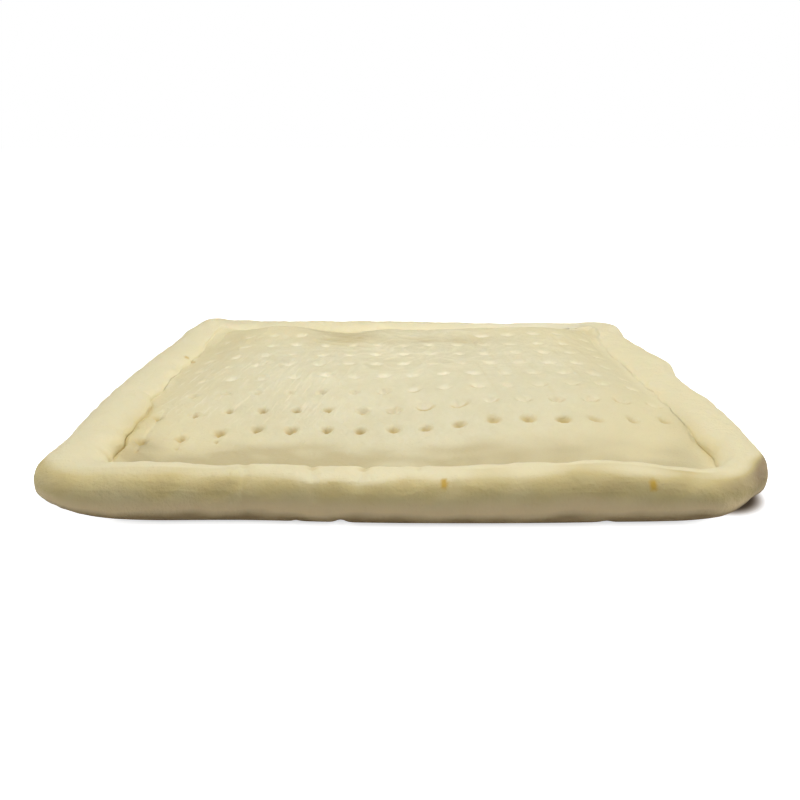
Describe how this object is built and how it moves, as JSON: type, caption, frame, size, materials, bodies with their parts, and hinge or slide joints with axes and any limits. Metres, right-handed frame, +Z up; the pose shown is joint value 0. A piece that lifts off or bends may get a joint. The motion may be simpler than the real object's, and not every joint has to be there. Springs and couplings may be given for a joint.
{
  "type": "rectangular pizza base",
  "caption": "Rectangular par-baked dough base with a rolled rim all round and a puffed, docked panel inside it, ready for sauce and toppings.",
  "frame": {"origin": "on the surface that the base lies on, under the middle of its outline", "axes": "+X along the long side, +Y from the front edge to the back edge, +Z up out of the dough"},
  "size_m": [0.3882, 0.3004, 0.0335],
  "materials": {
    "dough": "pale par-baked wheat dough, matte with a faint satin sheen, cream on top and more tan low on the rim"
  },
  "bodies": {
    "root": {"pizza_base": "dough"}
  },
  "joints": []
}
